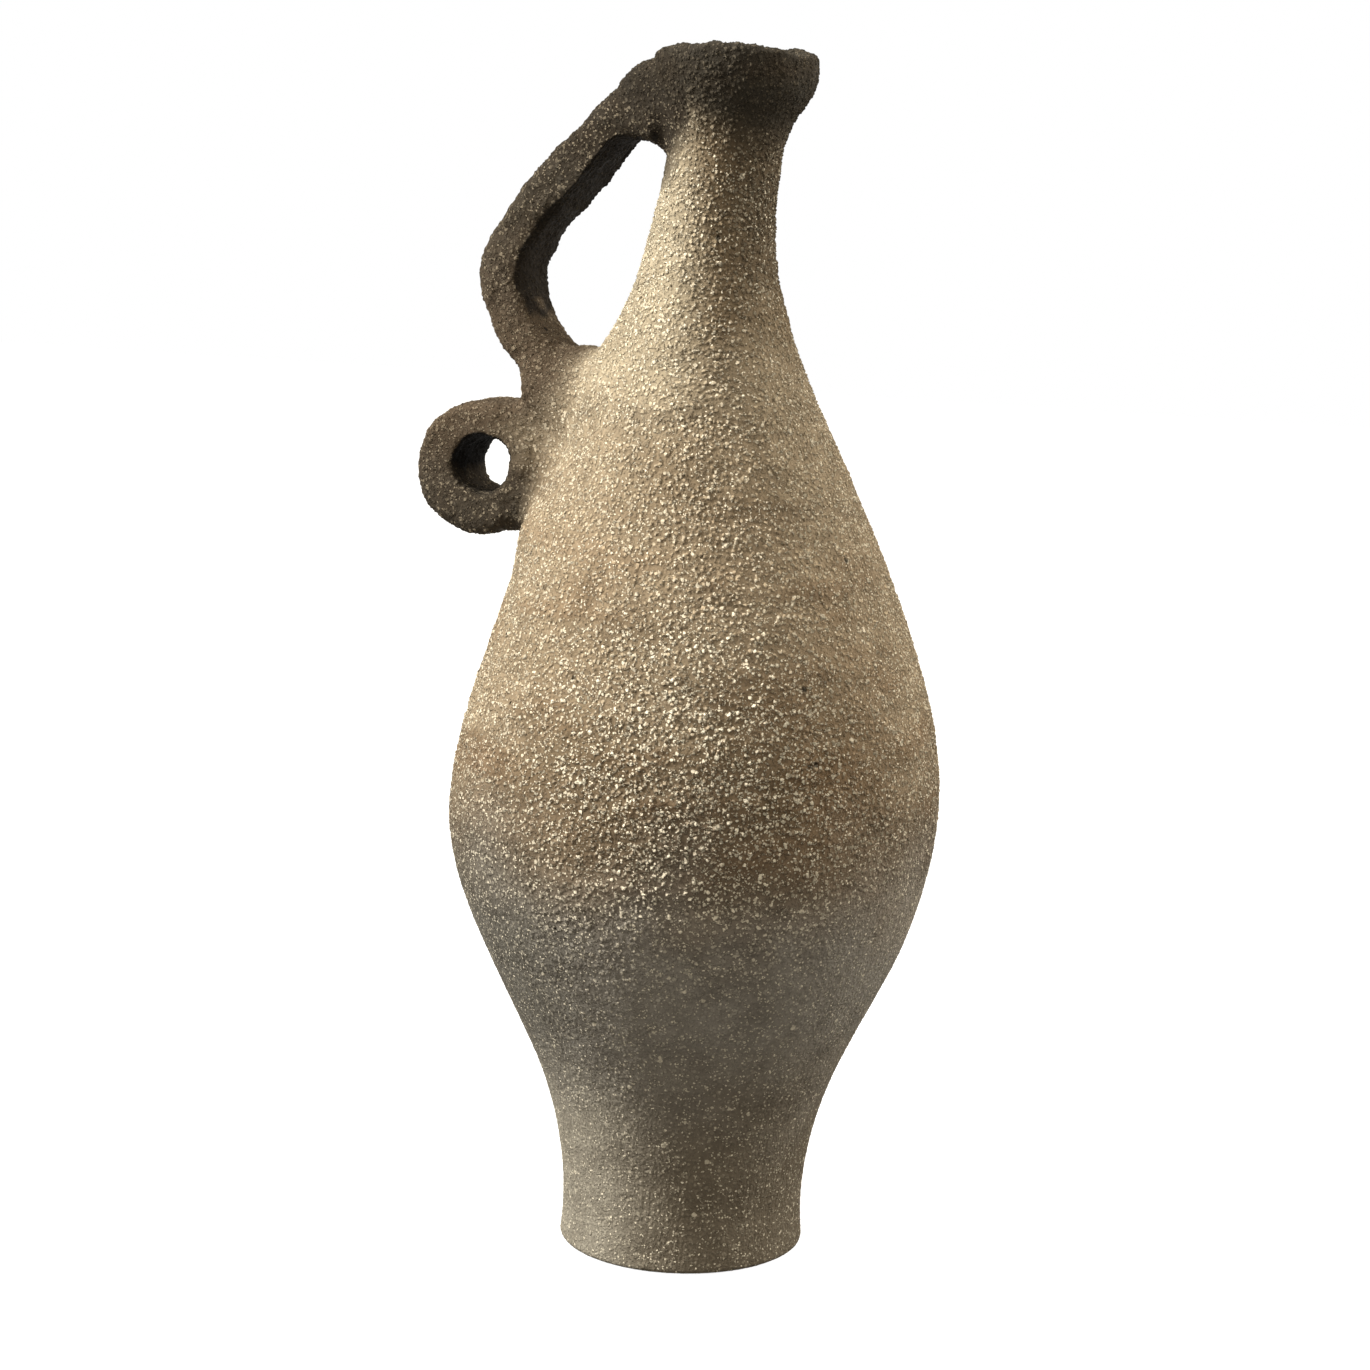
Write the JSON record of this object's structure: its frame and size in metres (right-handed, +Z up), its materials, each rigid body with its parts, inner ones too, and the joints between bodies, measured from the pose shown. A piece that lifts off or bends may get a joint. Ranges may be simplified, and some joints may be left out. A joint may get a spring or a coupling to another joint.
{
  "type": "lekythos",
  "caption": "Tall coil-built stoneware jug with a footed swelling body, narrow neck, beaked mouth, strap handle and finger ring.",
  "frame": {"origin": "centre of the foot's underside", "axes": "+Z up along the pot's middle, +X towards the beak, -X towards the handle"},
  "size_m": [0.2074, 0.1842, 0.45],
  "materials": {
    "tan_stoneware": "unglazed, coarse grog, warm tan",
    "grey_stoneware": "unglazed, finer grog, grey brown",
    "brown_stoneware": "unglazed, coarse grog, dark brown"
  },
  "bodies": {
    "root": {"floor_slab": "grey_stoneware", "foot_coil_1": "grey_stoneware", "foot_coil_2": "grey_stoneware", "lower_body_coil_1": "grey_stoneware", "lower_body_coil_2": "grey_stoneware", "belly_coil_1": "tan_stoneware", "belly_coil_2": "tan_stoneware", "shoulder_coil_1": "tan_stoneware", "shoulder_coil_2": "tan_stoneware", "shoulder_coil_3": "tan_stoneware", "shoulder_coil_4": "tan_stoneware", "neck_coil_1": "tan_stoneware", "neck_coil_2": "tan_stoneware", "neck_coil_3": "tan_stoneware", "pouring_lip": "brown_stoneware", "strap_handle": "brown_stoneware", "ring_lug": "brown_stoneware", "handle_rim_clay": "brown_stoneware", "handle_root_clay": "brown_stoneware", "lug_saddle_clay": "brown_stoneware"}
  },
  "joints": []
}
